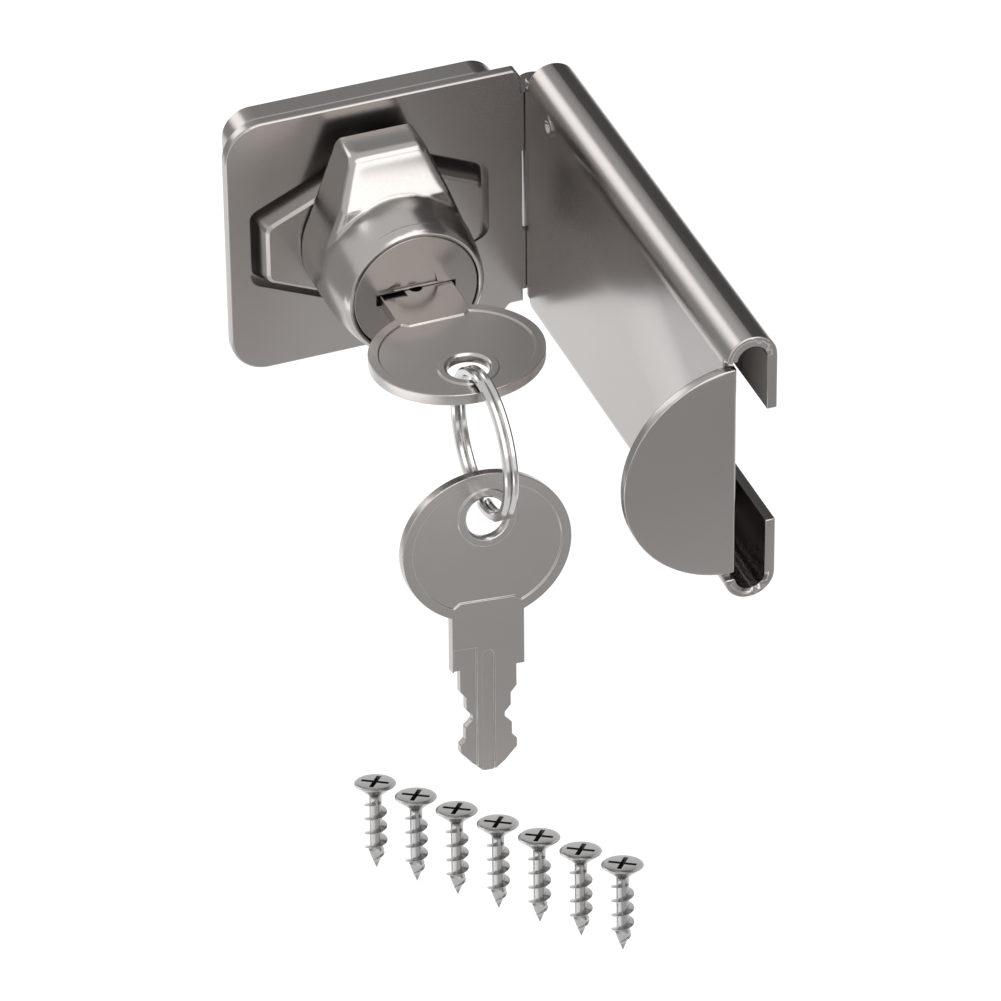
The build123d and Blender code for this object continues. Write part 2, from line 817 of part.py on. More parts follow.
def ring_centre():
    """Depth and height of the centre of the split ring, hanging from the key's rim."""
    hole_far, bow_far = rim_places()
    inner = key_ring_radius - ring_wire_radial / 2
    depth = (hole_far + bow_far) / 2 + ring_forward
    height = key_sheet / 2 + ring_lift - inner
    return depth, height


def make_key_ring():
    """Split ring: two coils side by side, joined where the wire steps over."""
    depth, height = ring_centre()
    offset = (ring_wire_axial + ring_coil_gap) / 2
    section = Rectangle(ring_wire_radial, ring_wire_axial)
    section = chamfer(section.vertices(), ring_wire_edge)
    sweep_angle = 360 - ring_step_angle
    first = Plane.XZ * Pos(key_ring_radius, -offset) * section
    second = Plane.XZ * Pos(key_ring_radius, offset) * section
    coil = revolve(first, Axis.Z, sweep_angle)
    other = revolve(second, Axis.Z, sweep_angle)
    step = loft([Rot(0, 0, sweep_angle) * first, second], ruled=True)
    ring = coil + other + step
    turn = Rot(0, 90, 0) * Rot(0, 0, ring_step_start)
    return Pos(0, -depth, height) * turn * ring


def spare_place():
    """Depth and height of the middle of the wire that the spare key hangs on."""
    depth, height = ring_centre()
    return depth, height - key_ring_radius


def spare_key():
    """Spare key hanging from the ring by its hole, its blade down."""
    depth, height = spare_place()
    hole_y = -(shoulder_length + bow_join()) - key_hole_offset
    drop = key_hole_radius - ring_wire_radial / 2 - hang_gap
    hung = Rot(-90, 0, 0) * Pos(0, -hole_y, 0) * make_key()
    hung = Pos(0, 0, -drop) * hung
    return Pos(0, -depth, height) * Rot(-spare_tilt, spare_lean, 0) * hung


def make_screws():
    """Seven loose wood screws in a row, as supplied."""
    profile = [
        (0, 0),
        (screw_head_radius, 0),
        (screw_head_radius, -screw_head_edge),
        (screw_shank_radius, -screw_head_height),
        (screw_shank_radius, -screw_length + screw_tip_length),
        (0, -screw_length),
    ]
    screw = revolve(Plane.XZ * make_face(Polyline(*profile, close=True)), Axis.Z)
    lean = Rot(0, 0, screw_turn) * Rot(-screw_lean, 0, 0)
    screws = []
    for number in range(screw_count):
        x = screw_row_x + number * screw_step_x
        depth = screw_row_depth + number * screw_step_depth
        screws.append(Pos(x, -depth, screw_row_height) * lean * screw)
    return screws


save("base_housing", make_base())
save("hasp_plate", make_plate())
save("hinge_pin", make_hinge_pin())
save("strap_channel", make_leaf())
save("stop_rivet", make_rivet())
save("mount_rail", make_rail())
save("knob_body", make_knob())
save("wave_washer", make_wave_washer())
save("stop_washer", make_stop_washer())
save("spindle_ring", make_spindle_ring())
save("plug_barrel", make_plug())
save("plug_cap", make_plug_cap())
save("plug_clip", make_plug_clip())
save("drive_pin", make_drive_pin())
save("wafer_plates", *make_wafers())
save("wafer_springs", *make_wafer_springs())
save("lock_bolt", make_bolt())
save("key_inserted", inserted_key())
save("key_ring", make_key_ring())
save("key_spare", spare_key())
save("wood_screws", *make_screws())
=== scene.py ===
import json
import math

import bpy
from mathutils import Matrix, Vector


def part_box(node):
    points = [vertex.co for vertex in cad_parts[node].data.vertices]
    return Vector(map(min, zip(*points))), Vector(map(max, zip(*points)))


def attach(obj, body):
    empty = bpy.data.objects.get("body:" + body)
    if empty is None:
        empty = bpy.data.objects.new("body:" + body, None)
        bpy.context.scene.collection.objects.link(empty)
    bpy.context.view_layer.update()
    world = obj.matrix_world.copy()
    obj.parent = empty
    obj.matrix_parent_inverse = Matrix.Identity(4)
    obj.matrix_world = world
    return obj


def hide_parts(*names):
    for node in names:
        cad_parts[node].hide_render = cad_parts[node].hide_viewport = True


# Dressing of a keyed hasp latch: satin nickel plates and channel, a winged knob, two keys on a
# split ring and seven loose wood screws. Metres. The front faces -Y and Z is up.

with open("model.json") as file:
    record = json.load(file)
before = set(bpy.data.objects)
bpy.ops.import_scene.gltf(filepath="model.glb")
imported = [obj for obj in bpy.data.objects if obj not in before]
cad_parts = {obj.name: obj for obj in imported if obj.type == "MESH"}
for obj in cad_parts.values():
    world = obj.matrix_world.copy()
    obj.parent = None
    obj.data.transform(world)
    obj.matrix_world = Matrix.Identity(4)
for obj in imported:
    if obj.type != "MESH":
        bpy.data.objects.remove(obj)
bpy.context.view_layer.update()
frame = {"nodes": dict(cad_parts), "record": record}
nodes = frame["nodes"]
MM = 0.001

# Camera of the photograph
VIEW_AZIMUTH = -20.46
VIEW_ELEVATION = 35.42
VIEW_ROLL = -0.7
VIEW_DISTANCE = 1.11117
VIEW_RIGHT = 0.02205
VIEW_UP = -0.04535
SENSOR_WIDTH = 36.0
PHOTO_WIDTH = 1001
PIXELS_PER_METRE = 6500.0

# Floor and surroundings
FLOOR_HEIGHT = -0.26
FLOOR_GLOW = 0.35
ROOM_DIFFUSE = 0.8

# Loose wood screws, in millimetres and degrees: the row as it lies in the frame
SCREW_COUNT = 7
SCREW_FIRST = (-11.8, -35.5, -83.0)
SCREW_STEP = (4.73, -5.55, 0.0)
SCREW_TURN = -20.5
SCREW_LEAN = -14.0
SCREW_LENGTH = 14.7
THREAD_PITCH = 2.4
THREAD_TURNS = 7
THREAD_STEPS = 28
THREAD_CREST = 1.8
THREAD_FOOT = 1.1
THREAD_CORE = 0.8
THREAD_TOP = -3.23
THREAD_END_GAP = 0.12
HEAD_STEPS = 40
SHANK_RADIUS = 0.98
TIP_LENGTH = 3.4
CROSS_TURN = -16.0
CROSS_LENGTH = 6.3
CROSS_WIDTH = 1.05
CROSS_DEPTH = 3.4
CROSS_TAPER = 0.42
# Depth and reach, in millimetres, of the cross-recess faces that are painted near-black as shade
RECESS_DEPTH = 1.8
RECESS_REACH = 2.3

# Knob, in millimetres: its even mesh, where its cast part ends and its crisp front begins, and
# the rise above which its wing leans
KNOB_MESH = 0.25
CAST_END = -24.6
FRONT_START = -24.5
WING_FOOT = 12.5

# Lean of the wing's front slope beyond the plain solid's, and the passes that soften the casting
WING_LEAN = 0.11
WING_PASSES = 50
FRONT_PASSES = 4

# Start and run, in millimetres, of the wing's lean and of its soft share
LEAN_DEPTH = (11.0, 3.0)
SOFT_RISE = (11.6, 2.2)
SOFT_DEPTH = (13.5, 2.0)

# Lips that close the mouth of the cylinder's face, in millimetres
LIP_WIDTH = 12.9
LIP_HEIGHT = 0.27
LIP_OFFSET = 1.11
LIP_INSET = 0.08
LIP_SET_BACK = 0.03

# Breaks of the sharp edges, in millimetres
LEAF_BREAK = 0.2
KEY_BREAK = 0.12
FACE_BREAK = 0.05

# How the spare key hangs from its ring, in degrees
KEY_TILT = 12.0
KEY_LEAN = 4.6

# Distances in metres under which points are one, and a cut passes through a point
ONE_POINT = 0.000002
ON_THE_CUT = 0.0000001

# Camera


def view_axes():
    """Right, up and back directions of the camera."""
    azimuth = math.radians(VIEW_AZIMUTH)
    elevation = math.radians(VIEW_ELEVATION)
    roll = math.radians(VIEW_ROLL)
    back = Vector((
        math.sin(azimuth) * math.cos(elevation),
        -math.cos(azimuth) * math.cos(elevation),
        math.sin(elevation),
    ))
    level = Vector((math.cos(azimuth), math.sin(azimuth), 0.0))
    upright = back.cross(level)
    right = level * math.cos(roll) + upright * math.sin(roll)
    up = upright * math.cos(roll) - level * math.sin(roll)
    return right, up, back


def add_camera():
    """Long lens at the photograph's viewing angle."""
    right, up, back = view_axes()
    data = bpy.data.cameras.new("photo_camera")
    data.sensor_width = SENSOR_WIDTH
    data.lens = PIXELS_PER_METRE * VIEW_DISTANCE * SENSOR_WIDTH / PHOTO_WIDTH
    data.clip_start = 0.01
    data.clip_end = 50.0
    camera = bpy.data.objects.new("photo_camera", data)
    place = back * VIEW_DISTANCE + right * VIEW_RIGHT + up * VIEW_UP
    turn = Matrix((right, up, back)).transposed().to_4x4()
    camera.matrix_world = Matrix.Translation(place) @ turn
    bpy.context.scene.collection.objects.link(camera)
    bpy.context.scene.camera = camera


# Room, lamps and cards


def seen_directly(tree):
    """One where the eye, a mirror or glass looks at a surface, and zero where it only lights."""
    path = tree.nodes.new("ShaderNodeLightPath")
    first = tree.nodes.new("ShaderNodeMath")
    first.operation = "MAXIMUM"
    second = tree.nodes.new("ShaderNodeMath")
    second.operation = "MAXIMUM"
    tree.links.new(path.outputs["Is Camera Ray"], first.inputs[0])
    tree.links.new(path.outputs["Is Glossy Ray"], first.inputs[1])
    tree.links.new(first.outputs[0], second.inputs[0])
    tree.links.new(path.outputs["Is Transmission Ray"], second.inputs[1])
    return second.outputs[0]


def add_room():
    """White surroundings, dimmer where they only light the object."""
    world = bpy.data.worlds.new("studio")
    world.use_nodes = True
    bpy.context.scene.world = world
    tree = world.node_tree
    tree.nodes.clear()
    output = tree.nodes.new("ShaderNodeOutputWorld")
    background = tree.nodes.new("ShaderNodeBackground")
    background.inputs["Color"].default_value = (1.0, 1.0, 1.0, 1.0)
    strength = tree.nodes.new("ShaderNodeMapRange")
    strength.inputs["To Min"].default_value = ROOM_DIFFUSE
    strength.inputs["To Max"].default_value = 1.0
    tree.links.new(seen_directly(tree), strength.inputs["Value"])
    tree.links.new(strength.outputs[0], background.inputs["Strength"])
    tree.links.new(background.outputs[0], output.inputs["Surface"])


def add_floor():
    """Plain white floor well below the hanging keys. It keeps the soft shadow."""
    bpy.ops.mesh.primitive_plane_add(size=12.0, location=(0.0, 0.0, FLOOR_HEIGHT))
    floor = bpy.context.object
    floor.name = "floor"
    bpy.ops.object.transform_apply(location=True, rotation=True, scale=True)
    material = bpy.data.materials.new("white_floor")
    material.use_nodes = True
    tree = material.node_tree
    shader = tree.nodes["Principled BSDF"]
    shader.inputs["Base Color"].default_value = (0.92, 0.92, 0.92, 1.0)
    shader.inputs["Roughness"].default_value = 1.0
    shader.inputs["Specular IOR Level"].default_value = 0.0
    glow = tree.nodes.new("ShaderNodeEmission")
    glow.inputs["Color"].default_value = (1.0, 1.0, 1.0, 1.0)
    amount = tree.nodes.new("ShaderNodeMath")
    amount.operation = "MULTIPLY"
    amount.inputs[1].default_value = FLOOR_GLOW
    both = tree.nodes.new("ShaderNodeAddShader")
    tree.links.new(seen_directly(tree), amount.inputs[0])
    tree.links.new(amount.outputs[0], glow.inputs["Strength"])
    tree.links.new(shader.outputs[0], both.inputs[0])
    tree.links.new(glow.outputs[0], both.inputs[1])
    tree.links.new(both.outputs[0], tree.nodes["Material Output"].inputs["Surface"])
    floor.data.materials.append(material)


def direction(azimuth, elevation):
    """Unit vector: azimuth 0 is the front, 90 the right, and elevation is above the horizon."""
    side = math.radians(azimuth)
    rise = math.radians(elevation)
    return Vector((
        math.sin(side) * math.cos(rise),
        -math.cos(side) * math.cos(rise),
        math.sin(rise),
    ))


def add_softbox(name, place, target, size, brightness):
    """Rectangular lamp whose face looks as bright as the number says, where 1 is white."""
    data = bpy.data.lights.new(name, "AREA")
    data.shape = "RECTANGLE"
    data.size, data.size_y = size
    data.energy = brightness * math.pi * size[0] * size[1]
    lamp = bpy.data.objects.new(name, data)
    lamp.location = place
    lamp.rotation_euler = (Vector(target) - Vector(place)).to_track_quat("-Z", "Y").to_euler()
    lamp.visible_camera = False
    bpy.context.scene.collection.objects.link(lamp)


def card_mask(tree, fade):
    """One on a card and falling smoothly to zero over a share of its width at each edge."""
    place = tree.nodes.new("ShaderNodeTexCoord")
    parts = tree.nodes.new("ShaderNodeSeparateXYZ")
    tree.links.new(place.outputs["UV"], parts.inputs[0])
    both = tree.nodes.new("ShaderNodeMath")
    both.operation = "MULTIPLY"
    for number in range(2):
        near = tree.nodes.new("ShaderNodeMath")
        near.operation = "PINGPONG"
        near.inputs[1].default_value = 0.5
        ramp = tree.nodes.new("ShaderNodeMapRange")
        ramp.interpolation_type = "SMOOTHSTEP"
        ramp.inputs["From Max"].default_value = fade
        tree.links.new(parts.outputs[number], near.inputs[0])
        tree.links.new(near.outputs[0], ramp.inputs["Value"])
        tree.links.new(ramp.outputs[0], both.inputs[number])
    return both.outputs[0]


def add_card(name, place, facing, size, grey, fade=0.0):
    """Plain card of the studio, seen only in the metal, with edges that may fade away."""
    bpy.ops.mesh.primitive_plane_add(size=1.0)
    card = bpy.context.object
    card.name = name
    aim = Vector(facing) - Vector(place)
    turn = aim.to_track_quat("Z", "Y").to_matrix().to_4x4()
    card.data.transform(Matrix.Translation(place) @ turn @ Matrix.Diagonal((*size, 1.0, 1.0)))
    card.visible_camera = False
    card.visible_diffuse = False
    card.visible_shadow = False
    material = bpy.data.materials.new(name)
    material.use_nodes = True
    tree = material.node_tree
    tree.nodes.clear()
    output = tree.nodes.new("ShaderNodeOutputMaterial")
    glow = tree.nodes.new("ShaderNodeEmission")
    glow.inputs["Color"].default_value = (grey, grey, grey, 1.0)
    tree.links.new(glow.outputs[0], output.inputs["Surface"])
    if fade:
        clear = tree.nodes.new("ShaderNodeBsdfTransparent")
        blend = tree.nodes.new("ShaderNodeMixShader")
        tree.links.new(card_mask(tree, fade), blend.inputs[0])
        tree.links.new(clear.outputs[0], blend.inputs[1])
        tree.links.new(glow.outputs[0], blend.inputs[2])
        tree.links.new(blend.outputs[0], output.inputs["Surface"])
    card.data.materials.append(material)


def light_studio():
    """Soft boxes in front and behind, and plain cards that shade the metal between them."""
    add_room()
    latch = (0.0, -0.03, 0.0)
    add_softbox("left_back_box", direction(-152.0, 27.0) * 0.9, latch, (0.28, 0.5), 1.6)
    add_card("front_card", (0.025, -0.2, -0.009), (0.025, 0.0, -0.009), (0.16, 0.054), 1.4)
    add_card("upper_front_card", (0.025, -0.2, 0.07), (0.025, 0.0, 0.07), (0.16, 0.104), 2.7)
    add_card("right_front_card", (0.225, -0.2, 0.04), (0.2, 0.0, 0.04), (0.24, 0.17), 0.62)
    add_card("key_card", (0.1, -0.2, -0.068), (0.1, 0.0, -0.068), (0.4, 0.064), 0.5)
    add_card("plate_card", (0.1, -0.2, -0.155), (0.1, 0.0, -0.155), (0.4, 0.11), 0.78)
    add_card("left_card", direction(-110.0, -14.0) * 0.5, latch, (1.0, 0.5), 0.5)
    add_card("low_left_card", direction(-75.0, -37.0) * 0.45, latch, (0.6, 0.17), 2.4)
    add_card("top_front_card", direction(20.0, 56.0) * 0.4, latch, (0.42, 0.34), 2.6)
    add_card("back_card", direction(168.0, 28.0) * 0.9, latch, (0.75, 0.42), 0.36)
    add_card("roll_flag", (0.078, 0.02, 0.075), (0.0, 0.02, 0.075), (0.24, 0.15), 0.12, 0.05)
    add_card("roll_flag_over", (0.062, -0.01, 0.06), (0.062, -0.01, 0.0), (0.036, 0.17), 0.12, 0.05)
    add_card("low_back_card", (-0.06, 0.3, -0.24), (0.03, -0.06, 0.0), (0.3, 0.24), 1.28)


# Finishes

FINE_GRAIN = 2600.0
BROAD_GRAIN = 52.0
GRAIN_HEIGHT = 0.00002
TINT_SPREAD = 0.05


def metal(name, colour, roughness, spread, bump):
    """Metal whose fine grain varies its colour, its gloss and its surface."""
    material = bpy.data.materials.new(name)
    material.use_nodes = True
    tree = material.node_tree
    shader = tree.nodes["Principled BSDF"]
    shader.inputs["Metallic"].default_value = 1.0
    place = tree.nodes.new("ShaderNodeTexCoord")
    fine = tree.nodes.new("ShaderNodeTexNoise")
    fine.inputs["Scale"].default_value = FINE_GRAIN
    fine.inputs["Detail"].default_value = 3.0
    tree.links.new(place.outputs["Object"], fine.inputs["Vector"])
    broad = tree.nodes.new("ShaderNodeTexNoise")
    broad.inputs["Scale"].default_value = BROAD_GRAIN
    broad.inputs["Detail"].default_value = 2.0
    tree.links.new(place.outputs["Object"], broad.inputs["Vector"])
    gloss = tree.nodes.new("ShaderNodeMapRange")
    gloss.inputs["To Min"].default_value = roughness - spread
    gloss.inputs["To Max"].default_value = roughness + spread
    tree.links.new(broad.outputs["Fac"], gloss.inputs["Value"])
    tree.links.new(gloss.outputs[0], shader.inputs["Roughness"])
    tint = tree.nodes.new("ShaderNodeMix")
    tint.data_type = "RGBA"
    for slot, share in ((6, 1.0 - TINT_SPREAD), (7, 1.0 + TINT_SPREAD)):
        tint.inputs[slot].default_value = (*(share * part for part in colour), 1.0)
    tree.links.new(fine.outputs["Fac"], tint.inputs[0])
    tree.links.new(tint.outputs[2], shader.inputs["Base Color"])
    rough = tree.nodes.new("ShaderNodeBump")
    rough.inputs["Strength"].default_value = bump
    rough.inputs["Distance"].default_value = GRAIN_HEIGHT
    tree.links.new(fine.outputs["Fac"], rough.inputs["Height"])
    tree.links.new(rough.outputs[0], shader.inputs["Normal"])
    return material


# Colour, roughness, spread of the roughness and strength of the grain
METALS = {
    "satin_nickel": ((0.37, 0.346, 0.333), 0.25, 0.03, 0.1),
    "satin_knob": ((0.41, 0.388, 0.374), 0.22, 0.03, 0.08),
    "plug_nickel": ((0.3, 0.281, 0.27), 0.26, 0.03, 0.1),
    "key_nickel": ((0.46, 0.434, 0.417), 0.24, 0.03, 0.1),
    # Near-black painted shade for the inside of the screws' cross recesses, not the zinc's own
    # colour
    "recess_painted_shade": ((0.05, 0.05, 0.05), 0.5, 0.05, 0.2),
    "bright_steel": ((0.5, 0.49, 0.48), 0.16, 0.03, 0.1),
    "zinc": ((0.4, 0.395, 0.39), 0.24, 0.05, 0.15),
    "plain_brass": ((0.6, 0.42, 0.18), 0.3, 0.05, 0.15),
}
FINISHES = {name: metal(name, *values) for name, values in METALS.items()}

NODE_FINISH = {
    "base_housing": "satin_nickel",
    "hasp_plate": "satin_nickel",
    "hinge_pin": "satin_nickel",
    "strap_channel": "satin_nickel",
    "stop_rivet": "satin_nickel",
    "mount_rail": "satin_nickel",
    "knob_body": "satin_knob",
    "wave_washer": "bright_steel",
    "stop_washer": "bright_steel",
    "spindle_ring": "bright_steel",
    "plug_barrel": "plug_nickel",
    "plug_cap": "plug_nickel",
    "plug_clip": "bright_steel",
    "drive_pin": "bright_steel",
    "wafer_plates": "plain_brass",
    "wafer_springs": "bright_steel",
    "lock_bolt": "bright_steel",
    "key_inserted": "key_nickel",
    "key_ring": "bright_steel",
    "key_spare": "key_nickel",
    "wood_screws": "zinc",
}


def finish_nodes():
    """Give every CAD node its metal."""
    for name, finish in NODE_FINISH.items():
        mesh = nodes[name].data
        mesh.materials.clear()
        mesh.materials.append(FINISHES[finish])


# Pieces copied from the frame


def deselect_all():
    """Leave nothing selected, so that an operator touches only the new piece."""
    if bpy.context.mode != "OBJECT":
        bpy.ops.object.mode_set(mode="OBJECT")
    bpy.ops.object.select_all(action="DESELECT")


def activate(piece):
    """Select one piece alone and make it the one that operators work on."""
    deselect_all()
    piece.select_set(True)
    bpy.context.view_layer.objects.active = piece


def body_of(node):
    """Body that a node of the frame belongs to."""
    for body, members in frame["record"]["behaviour"]["bodies"].items():
        if node in members:
            return body


def merge_all(piece):
    """Join the loose triangles of a copied node."""
    activate(piece)
    bpy.ops.object.mode_set(mode="EDIT")
    bpy.ops.mesh.select_all(action="SELECT")
    bpy.ops.mesh.remove_doubles(threshold=ONE_POINT)
    bpy.ops.object.mode_set(mode="OBJECT")


def copy_of(node, name):
    """Merged copy of a node, which then stands for it."""
    piece = bpy.data.objects.new(name, nodes[node].data.copy())
    bpy.context.scene.collection.objects.link(piece)
    merge_all(piece)
    piece.data.materials.clear()
    piece.data.materials.append(FINISHES[NODE_FINISH[node]])
    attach(piece, body_of(node))
    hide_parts(node)
    return piece


def sharp_edges(mesh, angle):
    """Outward edges of a mesh whose faces turn by more than an angle."""
    sides = {}
    for face in mesh.polygons:
        for pair in face.edge_keys:
            sides.setdefault(pair, []).append(face)
    limit = math.cos(math.radians(angle))
    found = []
    for edge in mesh.edges:
        faces = sides.get(edge.key, [])
        if len(faces) != 2:
            continue
        first, second = faces
        outward = (second.center - first.center).dot(first.normal) < 0.0
        if outward and first.normal.dot(second.normal) < limit:
            found.append(edge.index)
    return found


def settle_normals(piece, angle=50.0):
    """Smooth the rounds of a piece while its flat faces stay flat."""
    activate(piece)
    bpy.ops.object.shade_smooth_by_angle(angle=math.radians(angle))
    even = piece.modifiers.new("flats", "WEIGHTED_NORMAL")
    even.weight = 100
    even.keep_sharp = True
    apply_all(piece)


def round_edges(piece, width, angle=35.0, segments=2):
    """Break the outward sharp edges of a merged piece with a small round."""
    activate(piece)
    bpy.context.tool_settings.mesh_select_mode = (False, True, False)
    bpy.ops.object.mode_set(mode="EDIT")
    bpy.ops.mesh.select_all(action="SELECT")
    bpy.ops.mesh.dissolve_limited(angle_limit=math.radians(0.3))
    bpy.ops.mesh.select_all(action="DESELECT")
    bpy.ops.object.mode_set(mode="OBJECT")
    for index in sharp_edges(piece.data, angle):
        piece.data.edges[index].select = True
    bpy.ops.object.mode_set(mode="EDIT")
    bpy.ops.mesh.bevel(
        offset_type="OFFSET",
        offset=width * MM,
        segments=segments,
        affect="EDGES",
        clamp_overlap=False,
    )
    bpy.ops.mesh.select_all(action="SELECT")
    bpy.ops.mesh.quads_convert_to_tris()
    bpy.ops.object.mode_set(mode="OBJECT")
    bpy.context.tool_settings.mesh_select_mode = (True, False, False)
    settle_normals(piece, 50.0 if segments > 1 else 30.0)


def soften_edges(piece, width):
    """Break every sharp edge of a key with live modifiers, its engraved lines among them."""
    weld = piece.modifiers.new("join", "WELD")
    weld.merge_threshold = ONE_POINT
    flat = piece.modifiers.new("flats", "DECIMATE")
    flat.decimate_type = "DISSOLVE"
    flat.angle_limit = math.radians(0.5)
    bevel = piece.modifiers.new("edge", "BEVEL")
    bevel.width = width * MM
    bevel.segments = 2
    bevel.limit_method = "ANGLE"
    bevel.angle_limit = math.radians(32.0)
    bevel.use_clamp_overlap = False
    even = piece.modifiers.new("even", "WEIGHTED_NORMAL")
    even.weight = 60


def turn_spare_key():
    """Hanging key with its wide groove on the left of the blade, as the photograph shows it."""
    key = copy_of("key_spare", "hanging_key")
    tilt = Matrix.Rotation(math.radians(-KEY_TILT), 3, "X")
    lean = Matrix.Rotation(math.radians(KEY_LEAN), 3, "Y")
    across = tilt @ lean @ Vector((1.0, 0.0, 0.0))
    reach = [across.dot(vertex.co) for vertex in key.data.vertices]
    middle = (min(reach) + max(reach)) / 2.0
    for vertex, side in zip(key.data.vertices, reach):
        vertex.co += across * 2.0 * (middle - side)
    bpy.ops.object.mode_set(mode="EDIT")
    bpy.ops.mesh.select_all(action="SELECT")
    bpy.ops.mesh.flip_normals()
    bpy.ops.object.mode_set(mode="OBJECT")
    return key


# Knob


def ramp(value, start, run):
    """Zero up to a start, rising evenly to one over a run."""
    return min(1.0, max(0.0, (value - start) / run))


def make_soft_knob():
    """Knob whose cast wing has wide, soft edges, while its front stays crisp."""
    knob = copy_of("knob_body", "winged_knob")
    even = knob.modifiers.new("even", "REMESH")
    even.mode = "VOXEL"
    even.voxel_size = KNOB_MESH * MM
    even.use_smooth_shade = True
    apply_all(knob)
    wing = knob.vertex_groups.new(name="wing")
    front = knob.vertex_groups.new(name="front")
    for vertex in knob.data.vertices:
        rise = vertex.co.z / MM
        depth = -vertex.co.y / MM
        slope = ramp(depth, *LEAN_DEPTH) * max(0.0, rise - WING_FOOT)
        vertex.co.y += WING_LEAN * slope * MM
        share = ramp(rise, *SOFT_RISE) * ramp(depth, *SOFT_DEPTH)
        wing.add([vertex.index], share, "REPLACE")
        front.add([vertex.index], 1.0, "REPLACE")
    for group, times in (("wing", WING_PASSES), ("front", FRONT_PASSES)):
        smooth = knob.modifiers.new(group, "SMOOTH")
        smooth.factor = 0.5
        smooth.iterations = times
        smooth.vertex_group = group
    apply_all(knob)
    knob.vertex_groups.clear()
    cut_across(knob, CAST_END, False)
    rim = bpy.data.objects.new("knob_rim", nodes["knob_body"].data.copy())
    bpy.context.scene.collection.objects.link(rim)
    merge_all(rim)
    cut_across(rim, FRONT_START, True)
    combine(knob, rim, "UNION")
    settle_normals(knob, 30.0)


def cut_across(piece, depth, keep_front):
    """Cut a merged piece square to its depth and close the cut."""
    activate(piece)
    bpy.ops.object.mode_set(mode="EDIT")
    bpy.ops.mesh.select_all(action="SELECT")
    bpy.ops.mesh.bisect(
        plane_co=(0.0, depth * MM, 0.0),
        plane_no=(0.0, 1.0, 0.0),
        threshold=ON_THE_CUT,
        use_fill=True,
        clear_outer=keep_front,
        clear_inner=not keep_front,
    )
    bpy.ops.object.mode_set(mode="OBJECT")


# Cylinder face


def make_plug_face():
    """Face disc whose mouth closes round the stem of the key, leaving a fine gap."""
    face = copy_of("plug_cap", "plug_face")
    low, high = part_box("plug_cap")
    for side in (-1, 1):
        deselect_all()
        bpy.ops.mesh.primitive_cube_add(size=1.0)
        lip = bpy.context.object
        depth = (low[1] + high[1]) / 2.0 + LIP_SET_BACK * MM
        middle = Vector((0.0, depth, side * LIP_OFFSET * MM))
        thickness = high[1] - low[1] - LIP_INSET * MM
        size = Matrix.Diagonal((LIP_WIDTH * MM, thickness, LIP_HEIGHT * MM, 1.0))
        lip.data.transform(Matrix.Translation(middle) @ size)
        combine(face, lip, "UNION")
    round_edges(face, FACE_BREAK, 40.0, 1)


# Wood screws


def draw_profile(name, points):
    """Line through points in the XZ plane, given in millimetres, drawn by extruding a corner."""
    deselect_all()
    first = Vector((points[0][0] * MM, 0.0, points[0][1] * MM))
    bpy.ops.mesh.primitive_plane_add(size=MM, location=first)
    line = bpy.context.object
    line.name = name
    bpy.ops.object.transform_apply(location=True, rotation=True, scale=True)
    bpy.ops.object.mode_set(mode="EDIT")
    bpy.ops.mesh.select_all(action="SELECT")
    bpy.ops.mesh.merge(type="CENTER")
    before = points[0]
    for point in points[1:]:
        step = ((point[0] - before[0]) * MM, 0.0, (point[1] - before[1]) * MM)
        bpy.ops.mesh.extrude_vertices_move(TRANSFORM_OT_translate={"value": step})
        before = point
    bpy.ops.object.mode_set(mode="OBJECT")
    return line


def apply_all(piece):
    """Apply every modifier of a piece in turn."""
    bpy.context.view_layer.objects.active = piece
    for modifier in list(piece.modifiers):
        bpy.ops.object.modifier_apply(modifier=modifier.name)


def turn_profile(line, steps, rise=0.0, turns=1):
    """Sweep a profile round Z, rising by one pitch each turn, and close its seams."""
    sweep = line.modifiers.new("sweep", "SCREW")
    sweep.axis = "Z"
    sweep.angle = 2.0 * math.pi
    sweep.screw_offset = rise * MM
    sweep.iterations = turns
    sweep.steps = steps
    sweep.render_steps = steps
    sweep.use_merge_vertices = rise == 0.0
    sweep.merge_threshold = 0.000001
    apply_all(line)
    bpy.ops.object.mode_set(mode="EDIT")
    bpy.ops.mesh.select_all(action="SELECT")
    bpy.ops.mesh.remove_doubles(threshold=ONE_POINT)
    bpy.ops.mesh.normals_make_consistent(inside=False)
    bpy.ops.object.mode_set(mode="OBJECT")


def cut_flat(piece, height, keep_below):
    """Cut a piece across at a height and close the cut."""
    bpy.context.view_layer.objects.active = piece
    bpy.ops.object.mode_set(mode="EDIT")
    bpy.ops.mesh.select_all(action="SELECT")
    bpy.ops.mesh.bisect(
        plane_co=(0.0, 0.0, height * MM),
        plane_no=(0.0, 0.0, 1.0),
        threshold=ON_THE_CUT,
        use_fill=True,
        clear_outer=keep_below,
        clear_inner=not keep_below,
    )
    bpy.ops.object.mode_set(mode="OBJECT")


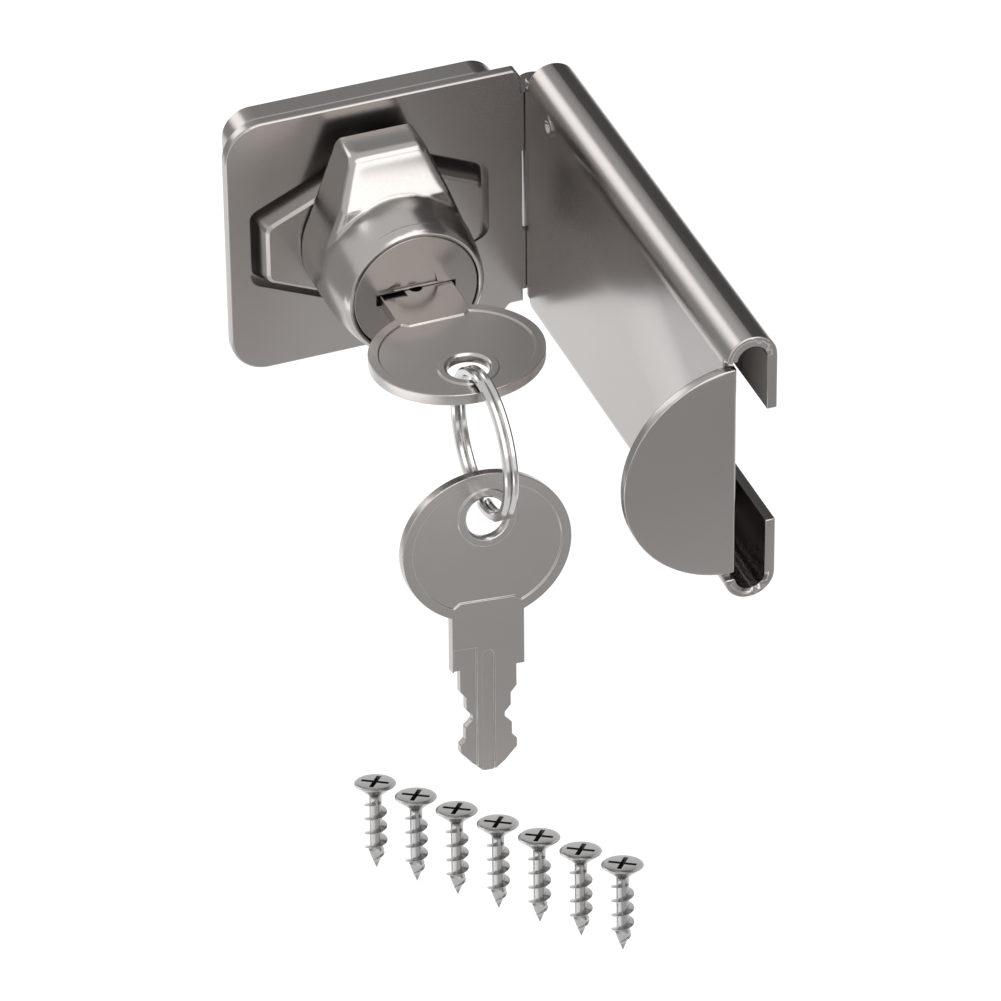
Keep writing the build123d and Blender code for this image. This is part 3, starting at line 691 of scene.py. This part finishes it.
def make_thread():
    """Thin core with a sharp, wide-pitched thread that runs out along a tapered point."""
    pitch = THREAD_PITCH
    line = draw_profile("screw_shank", [
        (THREAD_CORE, 0.0),
        (THREAD_CORE, 0.38 * pitch),
        (THREAD_FOOT, 0.47 * pitch),
        (THREAD_CREST, 0.56 * pitch),
        (THREAD_CREST, 0.59 * pitch),
        (THREAD_FOOT, 0.68 * pitch),
        (THREAD_CORE, 0.77 * pitch),
        (THREAD_CORE, pitch),
    ])
    turn_profile(line, THREAD_STEPS, pitch, THREAD_TURNS)
    point_start = -SCREW_LENGTH + TIP_LENGTH
    low = point_start - 2.0 * pitch
    line.data.transform(Matrix.Translation((0.0, 0.0, (low - point_start) * MM)))
    cut_flat(line, -TIP_LENGTH + THREAD_END_GAP, False)
    cut_flat(line, THREAD_TOP - point_start, True)
    taper = line.modifiers.new("point", "SIMPLE_DEFORM")
    taper.deform_method = "TAPER"
    taper.deform_axis = "Z"
    taper.factor = 1.0
    heights = [v.co.z for v in line.data.vertices]
    taper.limits = (0.0, -min(heights) / (max(heights) - min(heights)))
    apply_all(line)
    line.data.transform(Matrix.Translation((0.0, 0.0, point_start * MM)))
    return line


def make_screw_head():
    """Flat countersunk head with a thin rim, a plain core and a pointed end."""
    line = draw_profile("screw_head", [
        (0.0, 0.0),
        (2.75, 0.0),
        (3.12, -0.06),
        (3.3, -0.22),
        (3.3, -0.34),
        (3.1, -0.52),
        (1.3, -1.95),
        (1.05, -2.25),
        (SHANK_RADIUS, -2.7),
        (SHANK_RADIUS, -10.9),
        (1.22, -11.5),
        (0.9, -12.5),
        (0.0, -SCREW_LENGTH),
    ])
    turn_profile(line, HEAD_STEPS)
    return line


def make_cross_cutter():
    """Two crossed blades that narrow downwards, for the driver recess."""
    blades = []
    for turn in (0.0, 90.0):
        deselect_all()
        bpy.ops.mesh.primitive_cube_add(size=1.0)
        blade = bpy.context.object
        size = Matrix.Diagonal((CROSS_LENGTH * MM, CROSS_WIDTH * MM, CROSS_DEPTH * MM, 1.0))
        blade.data.transform(Matrix.Rotation(math.radians(turn + CROSS_TURN), 4, "Z") @ size)
        for vertex in blade.data.vertices:
            if vertex.co.z < 0.0:
                vertex.co.x *= CROSS_TAPER
                vertex.co.y *= CROSS_TAPER
        blades.append(blade)
    blades[0].name = "cross_cutter"
    combine(blades[0], blades[1], "UNION")
    return blades[0]


def combine(piece, other, operation):
    """Join or cut one closed piece with another, which is then deleted."""
    deselect_all()
    change = piece.modifiers.new("change", "BOOLEAN")
    change.operation = operation
    change.object = other
    change.solver = "EXACT"
    apply_all(piece)
    bpy.data.objects.remove(other)


def make_wood_screws():
    """Seven wood screws with cross recesses, modelled once and copied along their row."""
    screw = make_screw_head()
    combine(screw, make_thread(), "UNION")
    combine(screw, make_cross_cutter(), "DIFFERENCE")
    activate(screw)
    bpy.ops.object.shade_smooth_by_angle(angle=math.radians(38.0))
    screw.data.materials.clear()
    screw.data.materials.append(FINISHES["zinc"])
    # Second slot: near-black painted shade, given below to the upward faces inside the cross recess
    screw.data.materials.append(FINISHES["recess_painted_shade"])
    for face in screw.data.polygons:
        middle = face.center / MM
        upward = face.normal.z > -0.2
        near = middle.z > -RECESS_DEPTH and math.hypot(middle.x, middle.y) < RECESS_REACH
        below_top = face.normal.z < 0.995 or middle.z < -0.2
        face.material_index = int(upward and near and below_top)
    turn = Matrix.Rotation(math.radians(SCREW_TURN), 4, "Z")
    lean = Matrix.Rotation(math.radians(SCREW_LEAN), 4, "X")
    pose = turn @ lean
    shape = screw.data.copy()
    for number in range(SCREW_COUNT):
        piece = screw
        if number:
            piece = bpy.data.objects.new("wood_screw", shape.copy())
            bpy.context.scene.collection.objects.link(piece)
        piece.name = f"wood_screw_{number + 1}"
        place = [(a + number * b) * MM for a, b in zip(SCREW_FIRST, SCREW_STEP)]
        piece.data.transform(Matrix.Translation(place) @ pose)
        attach(piece, body_of("wood_screws"))
        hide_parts("wood_screws")


bpy.context.scene.view_settings.view_transform = "Standard"
add_camera()
light_studio()
add_floor()
finish_nodes()
make_soft_knob()
make_plug_face()
round_edges(copy_of("strap_channel", "strap_channel_dressed"), LEAF_BREAK)
soften_edges(nodes["key_inserted"], KEY_BREAK)
soften_edges(turn_spare_key(), KEY_BREAK)
make_wood_screws()
